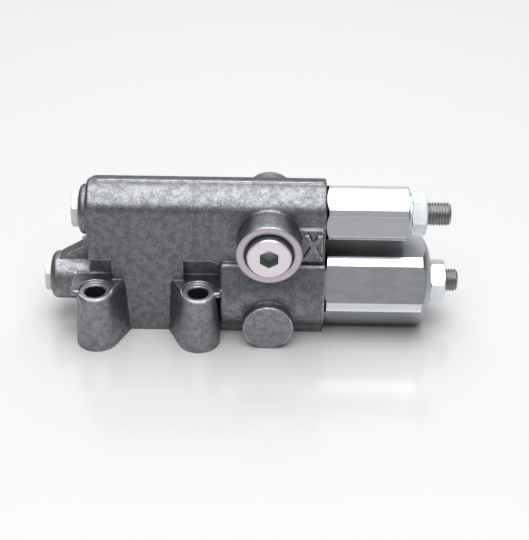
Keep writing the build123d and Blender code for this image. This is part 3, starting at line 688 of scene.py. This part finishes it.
def make_thread_tree():
    """A screw along X from Left to Right, grown from a grid that is wrapped round the axis."""
    tree, given, out = new_tree(
        "Threaded screw",
        "GeometryNodeTree",
        (
            ("Left", "NodeSocketFloat", 0.0),
            ("Right", "NodeSocketFloat", 0.02),
            ("Axis height", "NodeSocketFloat", 0.0),
            ("Radius", "NodeSocketFloat", 0.004),
            ("Pitch", "NodeSocketFloat", 0.001),
            ("Depth", "NodeSocketFloat", 0.0005),
            ("Point", "NodeSocketFloat", 0.0008),
            ("Socket", "NodeSocketFloat", 0.004),
            ("Rows", "NodeSocketInt", 180),
            ("Around", "NodeSocketInt", 48),
            ("Finish", "NodeSocketMaterial", None),
        ),
        (("Geometry", "NodeSocketGeometry"),),
    )
    tree.tree.is_modifier = True
    value = given.outputs

    # A sheet whose X runs along the screw and whose Y runs once round it
    grid = tree.add("GeometryNodeMeshGrid")
    tree.link(value["Rows"], grid.inputs["Vertices X"])
    tree.link(value["Around"], grid.inputs["Vertices Y"])
    grid.inputs["Size X"].default_value = 1.0
    grid.inputs["Size Y"].default_value = 1.0
    sheet = tree.add("ShaderNodeSeparateXYZ")
    tree.link(tree.add("GeometryNodeInputPosition").outputs[0], sheet.inputs[0])
    along = tree.math("ADD", sheet.outputs["X"], 0.5)
    turn = tree.math("MULTIPLY", tree.math("ADD", sheet.outputs["Y"], 0.5), 2 * pi)

    # The first and last rows close the ends, so the thread runs between them
    margin = tree.math("DIVIDE", 1.0, tree.math("SUBTRACT", value["Rows"], 1.0))
    inner = tree.add("ShaderNodeMapRange", clamp=True)
    tree.link(along, inner.inputs["Value"])
    tree.link(margin, inner.inputs["From Min"])
    tree.link(tree.math("SUBTRACT", 1.0, margin), inner.inputs["From Max"])
    tree.link(value["Left"], inner.inputs["To Min"])
    tree.link(value["Right"], inner.inputs["To Max"])
    x = inner.outputs["Result"]
    edge = tree.math("MULTIPLY", margin, 0.5)
    inside = tree.math(
        "MULTIPLY",
        tree.math("GREATER_THAN", along, edge),
        tree.math("LESS_THAN", along, tree.math("SUBTRACT", 1.0, edge)),
    )

    # Radius: thread flanks, cut back by the chamfer at either end
    phase = tree.math(
        "SUBTRACT", tree.math("DIVIDE", x, value["Pitch"]), tree.math("DIVIDE", turn, 2 * pi)
    )
    saw = tree.math("ABSOLUTE", tree.math("SUBTRACT", tree.math("FRACT", phase), 0.5))
    flank = tree.math("MULTIPLY_ADD", saw, FLANK_SLOPE, FLANK_START)
    flank = tree.math("MINIMUM", tree.math("MAXIMUM", flank, 0.0), 1.0)
    ridge = tree.math("SUBTRACT", value["Radius"], tree.math("MULTIPLY", flank, value["Depth"]))
    shoulder = tree.math("SUBTRACT", value["Radius"], value["Point"])
    from_left = tree.math("ADD", shoulder, tree.math("SUBTRACT", x, value["Left"]))
    from_right = tree.math("ADD", shoulder, tree.math("SUBTRACT", value["Right"], x))
    chamfered = tree.math("MINIMUM", tree.math("MINIMUM", ridge, from_left), from_right)
    radius = tree.math("MULTIPLY", chamfered, inside)

    # The sheet wrapped round the axis and welded shut
    spot = tree.add("ShaderNodeCombineXYZ")
    tree.link(x, spot.inputs["X"])
    tree.link(tree.math("MULTIPLY", radius, tree.math("COSINE", turn)), spot.inputs["Y"])
    lift = tree.math("MULTIPLY", radius, tree.math("SINE", turn))
    tree.link(tree.math("ADD", lift, value["Axis height"]), spot.inputs["Z"])
    wrap = tree.add("GeometryNodeSetPosition")
    tree.link(grid.outputs["Mesh"], wrap.inputs["Geometry"])
    tree.link(spot.outputs[0], wrap.inputs["Position"])
    weld = tree.add("GeometryNodeMergeByDistance")
    weld.inputs["Distance"].default_value = WELD_DISTANCE
    tree.link(wrap.outputs[0], weld.inputs["Geometry"])

    # Hexagon socket in the right end
    key = tree.add("GeometryNodeMeshCylinder")
    key.inputs["Vertices"].default_value = 6
    tree.link(tree.math("DIVIDE", value["Socket"], 2 * cos(pi / 6)), key.inputs["Radius"])
    tree.link(tree.math("MULTIPLY", value["Socket"], 2.0), key.inputs["Depth"])
    end = tree.add("ShaderNodeCombineXYZ")
    tree.link(value["Right"], end.inputs["X"])
    tree.link(value["Axis height"], end.inputs["Z"])
    laid = tree.add("GeometryNodeTransform")
    laid.inputs["Rotation"].default_value = Euler((0.0, pi / 2, 0.0))
    tree.link(end.outputs[0], laid.inputs["Translation"])
    tree.link(key.outputs["Mesh"], laid.inputs["Geometry"])
    cut = tree.add("GeometryNodeMeshBoolean", operation="DIFFERENCE")
    tree.link(weld.outputs[0], cut.inputs["Mesh 1"])
    tree.link(laid.outputs[0], cut.inputs["Mesh 2"])

    real = tree.add("GeometryNodeRealizeInstances")
    tree.link(cut.outputs["Mesh"], real.inputs[0])
    finish = tree.add("GeometryNodeSetMaterial")
    tree.link(real.outputs[0], finish.inputs["Geometry"])
    tree.link(value["Finish"], finish.inputs["Material"])
    tree.link(finish.outputs[0], out.inputs["Geometry"])
    return tree.tree


def grown(name, tree, values):
    """Runs a Geometry Nodes tree with its inputs; returns the result as a plain mesh object."""
    holder = bpy.data.objects.new(name + " tree", bpy.data.meshes.new(name + " seed"))
    bpy.context.scene.collection.objects.link(holder)
    modifier = holder.modifiers.new(name, "NODES")
    modifier.node_group = tree
    for item in tree.interface.items_tree:
        if item.name in values:
            modifier[item.identifier] = values[item.name]
    bpy.context.view_layer.update()
    evaluated = holder.evaluated_get(bpy.context.evaluated_depsgraph_get())
    mesh = bpy.data.meshes.new_from_object(evaluated)
    bpy.data.objects.remove(holder)
    mesh.name = name
    return placed(name, mesh)


def placed(name, mesh):
    """Puts a mesh in the scene as an object."""
    piece = bpy.data.objects.new(name, mesh)
    bpy.context.scene.collection.objects.link(piece)
    return piece


def outward(mesh):
    """Turns every face of a closed mesh outwards."""
    work = bmesh.new()
    work.from_mesh(mesh)
    bmesh.ops.recalc_face_normals(work, faces=work.faces)
    work.to_mesh(mesh)
    work.free()


class VALVE_OT_casting(bpy.types.Operator):
    """Make the shader groups and finish the housing as cast iron"""

    bl_idname = "valve.casting"
    bl_label = "Casting"

    def execute(self, context):
        make_cast_skin()
        make_turned_marks()
        make_edge_wear_and_shade()
        make_axis_radius()
        make_mottle()
        dress("housing", cast_iron(context.scene.valve_finish))
        return {"FINISHED"}


class VALVE_OT_sleeves(bpy.types.Operator):
    """Finish the two hexagon sleeves"""

    bl_idname = "valve.sleeves"
    bl_label = "Sleeves"

    def execute(self, context):
        finish = context.scene.valve_finish
        for node, height in (("flow_sleeve", FLOW_Z), ("pressure_sleeve", PRESSURE_Z)):
            low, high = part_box(node)
            radius = max(high.y - low.y, high.z - low.z) / 2
            crown_x = high.x - CROWN[node]
            dress(node, sleeve_steel("Steel of " + node, finish, height, radius, crown_x))
        return {"FINISHED"}


class VALVE_OT_nuts(bpy.types.Operator):
    """Finish the lock nuts and their washers"""

    bl_idname = "valve.nuts"
    bl_label = "Lock nuts"

    def execute(self, context):
        colour = context.scene.valve_finish.nut_zinc
        plate = zinc("Nut zinc", colour, metallic=0.75, roughness=0.36)
        for node in nodes:
            if node.endswith(("_lock_nut", "_nut_washer")):
                dress(node, plate)
        return {"FINISHED"}


class VALVE_OT_plugs(bpy.types.Operator):
    """Finish the end plugs and the port plug"""

    bl_idname = "valve.plugs"
    bl_label = "Plugs"

    def execute(self, context):
        finish = context.scene.valve_finish
        plate = zinc("Plug zinc", finish.plug_zinc, metallic=0.1, roughness=0.5)
        for node in ("flow_end_plug", "pressure_end_plug"):
            dress(node, plate)
        dress("x_port_plug", port_plug_zinc(finish))
        return {"FINISHED"}


class VALVE_OT_screws(bpy.types.Operator):
    """Cut the threads of the adjusting screws"""

    bl_idname = "valve.screws"
    bl_label = "Adjusting screws"

    def execute(self, context):
        thread = context.scene.valve_thread
        steel = plain_metal("Screw steel", context.scene.valve_finish.screw, 0.36)
        tree = make_thread_tree()
        for stage, height in (("flow", FLOW_Z), ("pressure", PRESSURE_Z)):
            node = stage + "_adjusting_screw"
            low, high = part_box(node)
            values = {
                "Left": low.x,
                "Right": high.x,
                "Axis height": height,
                "Radius": (high.y - low.y) / 2,
                "Pitch": thread.pitch,
                "Depth": thread.depth,
                "Point": thread.point,
                "Socket": thread.socket,
                "Rows": 3 + round((high.x - low.x) / thread.pitch * ROWS_PER_PITCH),
                "Finish": steel,
            }
            piece = grown(node + "_thread", tree, values)
            outward(piece.data)
            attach(piece, node)
            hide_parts(node)
        return {"FINISHED"}


class VALVE_OT_springs(bpy.types.Operator):
    """Copy each spring of a spool slide in spring steel and hang it on the slide's parent"""

    bl_idname = "valve.springs"
    bl_label = "Springs"

    def execute(self, context):
        steel = plain_metal("Spring steel", SPRING_STEEL, 0.35)
        for joint in frame["record"]["behaviour"]["joints"]:
            if not joint["name"].endswith("_spool_slide"):
                continue
            for coil in joint["deforming_nodes"]:
                node = coil["node"]
                piece = placed(node + "_coil", nodes[node].data.copy())
                piece.data.materials.clear()
                piece.data.materials.append(steel)
                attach(piece, joint["parent"])
                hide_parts(node)
                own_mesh(piece)
        return {"FINISHED"}


class VALVE_OT_inner(bpy.types.Operator):
    """Finish the pieces inside: spools, seats, seals and the orifice"""

    bl_idname = "valve.inner"
    bl_label = "Inner pieces"

    def execute(self, context):
        ground = plain_metal("Ground steel", GROUND_STEEL, 0.18)
        rubber = material("Seal rubber", metallic=0.0, roughness=0.6, colour=RUBBER)[0]
        for node in nodes:
            if node.endswith(("_seal", "_rings")):
                dress(node, rubber)
            elif node.endswith(("_spool", "_seat")):
                dress(node, ground)
        dress("pilot_orifice", plain_metal("Brass", BRASS, 0.25))
        return {"FINISHED"}


class VALVE_OT_letter(bpy.types.Operator):
    """Raise the letter X beside its port, as a cast mark"""

    bl_idname = "valve.letter"
    bl_label = "Port letter"

    def execute(self, context):
        letter = context.scene.valve_letter
        work = bmesh.new()
        centre = Vector(letter.centre)
        rings = []
        for depth, flare in ((-letter.raised / 2, letter.draft), (letter.raised, 0.0)):
            wide = letter.width / 2 + flare
            high = letter.height / 2 + flare
            stroke = letter.stroke + 2 * flare
            notch = high * stroke / (2 * wide - stroke)
            quarter = ((wide - stroke, high), (wide, high), (stroke / 2, 0.0), (wide, -high))
            half = (*quarter, (wide - stroke, -high), (0.0, -notch))
            outline = (*half, *((-x, -z) for x, z in half))
            rings.append([work.verts.new(centre + Vector((x, -depth, z))) for x, z in outline])
        base, top = rings
        work.faces.new(base)
        work.faces.new(reversed(top))
        for index in range(len(base)):
            after = (index + 1) % len(base)
            work.faces.new((base[index], top[index], top[after], base[after]))
        work.normal_update()
        bmesh.ops.triangulate(work, faces=work.faces)
        bmesh.ops.recalc_face_normals(work, faces=work.faces)
        mesh = bpy.data.meshes.new("port_letter")
        work.to_mesh(mesh)
        work.free()
        mesh.materials.append(bpy.data.materials["Cast iron"])
        piece = placed("port_letter", mesh)
        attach(piece, "housing")
        return {"FINISHED"}


def make_floor(colour):
    """A wide, faintly glossy floor."""
    made, _, principled = material("Floor", metallic=0.0, roughness=0.16, colour=colour)
    principled.inputs["IOR"].default_value = 1.8
    mesh = bpy.data.meshes.new("floor")
    signs = ((-1, -1), (1, -1), (1, 1), (-1, 1))
    corners = [(x * FLOOR_HALF, y * FLOOR_HALF, 0.0) for x, y in signs]
    mesh.from_pydata(corners, [], [(0, 1, 2, 3)])
    mesh.materials.append(made)
    return placed("floor", mesh)


def make_surroundings(colour):
    """A dim room that the metals mirror, in front of a pale backdrop that only the camera sees."""
    world = bpy.data.worlds.new("Surroundings")
    world.use_nodes = True
    background = world.node_tree.nodes["Background"]
    room = Tree(world.node_tree)
    to_camera = room.add("ShaderNodeLightPath").outputs["Is Camera Ray"]
    room.link(room.mix(to_camera, colour, BACKDROP), background.inputs["Color"])
    background.inputs["Strength"].default_value = 1.0
    bpy.context.scene.world = world


def make_lamp(name, power, size, place, aim):
    """A soft lamp of a width and a height, which looks at a point."""
    lamp = bpy.data.lights.new(name, "AREA")
    lamp.energy = power
    lamp.shape = "RECTANGLE"
    lamp.size, lamp.size_y = size
    holder = placed(name, lamp)
    holder.location = place
    holder.rotation_euler = (Vector(aim) - Vector(place)).to_track_quat("-Z", "Y").to_euler()
    return holder


def make_camera(stage):
    """The camera, turned about its target."""
    camera = bpy.data.cameras.new("Camera")
    camera.lens = stage.lens
    camera.sensor_width = 36.0
    camera.clip_start = 0.01
    camera.clip_end = 20.0
    back = Vector(
        (
            sin(stage.azimuth) * cos(stage.elevation),
            -cos(stage.azimuth) * cos(stage.elevation),
            sin(stage.elevation),
        )
    )
    view = placed("Camera", camera)
    place = Vector(stage.target) + back * stage.distance
    turn = back.to_track_quat("Z", "Y").to_matrix().to_4x4()
    view.matrix_world = Matrix.Translation(place) @ turn @ Matrix.Rotation(stage.roll, 4, "Z")
    bpy.context.scene.camera = view
    return view


class VALVE_OT_stage(bpy.types.Operator):
    """Set the floor, the lamps, the surroundings and the camera"""

    bl_idname = "valve.stage"
    bl_label = "Stage"

    def execute(self, context):
        stage = context.scene.valve_stage
        context.scene.view_settings.view_transform = "Standard"
        floor = make_floor(stage.floor_colour)
        make_surroundings(stage.world_colour)
        lamps = [
            make_lamp(
                "Top lamp",
                stage.top_power,
                size=(0.8, 1.3),
                place=(0.04, -0.05, 0.8),
                aim=stage.target,
            ),
            make_lamp(
                "Front lamp",
                stage.front_power,
                size=(1.6, 0.8),
                place=(0.04, -1.1, 0.5),
                aim=stage.target,
            ),
            make_lamp(
                "Back lamp",
                stage.back_power,
                size=(2.4, 1.2),
                place=(0.04, 1.2, 0.9),
                aim=(0.04, 0.0, 0.9),
            ),
        ]
        make_camera(stage)
        return {"FINISHED"}


class VALVE_PT_panel(bpy.types.Panel):
    """Lists the steps that dress the valve and their values."""

    bl_idname = "VALVE_PT_panel"
    bl_label = "Hydraulic valve"
    bl_space_type = "VIEW_3D"
    bl_region_type = "UI"
    bl_category = "Valve"

    def draw(self, context):
        for step in STEPS:
            self.layout.operator(step.bl_idname)
        for name in GROUPS:
            group = getattr(context.scene, name)
            box = self.layout.box()
            for key in group.bl_rna.properties.keys():
                if key not in {"rna_type", "name"}:
                    box.prop(group, key)


STEPS = (
    VALVE_OT_casting,
    VALVE_OT_sleeves,
    VALVE_OT_nuts,
    VALVE_OT_plugs,
    VALVE_OT_screws,
    VALVE_OT_springs,
    VALVE_OT_inner,
    VALVE_OT_letter,
    VALVE_OT_stage,
)
GROUPS = {
    "valve_stage": ValveStage,
    "valve_finish": ValveFinish,
    "valve_thread": ValveThread,
    "valve_letter": ValveLetter,
}


def register():
    for name, group in GROUPS.items():
        bpy.utils.register_class(group)
        setattr(bpy.types.Scene, name, bpy.props.PointerProperty(type=group))
    for step in (*STEPS, VALVE_PT_panel):
        bpy.utils.register_class(step)


def unregister():
    for step in reversed((*STEPS, VALVE_PT_panel)):
        bpy.utils.unregister_class(step)
    for name, group in GROUPS.items():
        delattr(bpy.types.Scene, name)
        bpy.utils.unregister_class(group)


def main():
    register()
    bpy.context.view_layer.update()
    bpy.ops.valve.casting()
    bpy.ops.valve.sleeves()
    bpy.ops.valve.nuts()
    bpy.ops.valve.plugs()
    bpy.ops.valve.screws()
    bpy.ops.valve.springs()
    bpy.ops.valve.inner()
    bpy.ops.valve.letter()
    bpy.ops.valve.stage()


if __name__ == "__main__":
    main()
